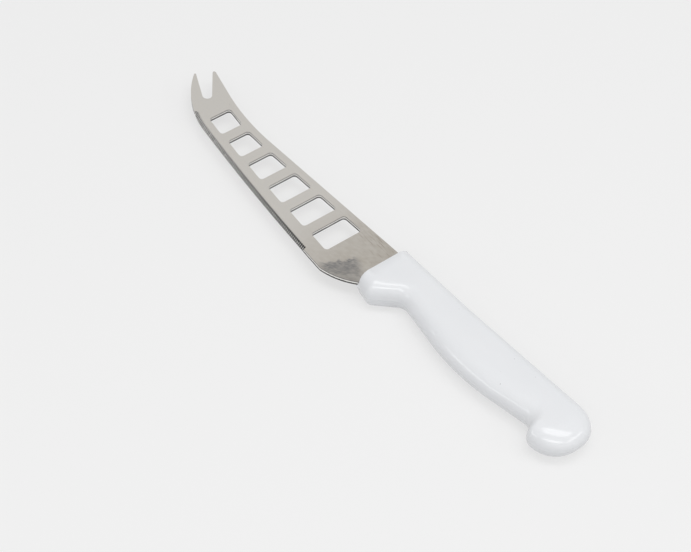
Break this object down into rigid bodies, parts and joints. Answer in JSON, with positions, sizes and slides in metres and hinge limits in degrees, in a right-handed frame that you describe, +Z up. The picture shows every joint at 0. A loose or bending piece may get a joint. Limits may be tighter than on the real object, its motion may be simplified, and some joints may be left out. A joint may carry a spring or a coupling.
{
  "type": "cheese knife",
  "caption": "Cheese knife with a forked, upswept tip, a serrated bevelled edge, windows through the blade, and a one-piece moulded handle with a guard and a hooked butt.",
  "frame": {"origin": "middle of the knife's length and width, on the surface it lies on", "axes": "+X from the tip to the butt, +Y from the edge to the spine, +Z up through the thickness"},
  "size_m": [0.286, 0.0442, 0.015],
  "materials": {
    "steel": "satin stainless steel, brushed near the handle",
    "white_plastic": "glossy white moulded plastic"
  },
  "bodies": {
    "root": {"blade": "steel", "handle": "white_plastic"}
  },
  "joints": []
}
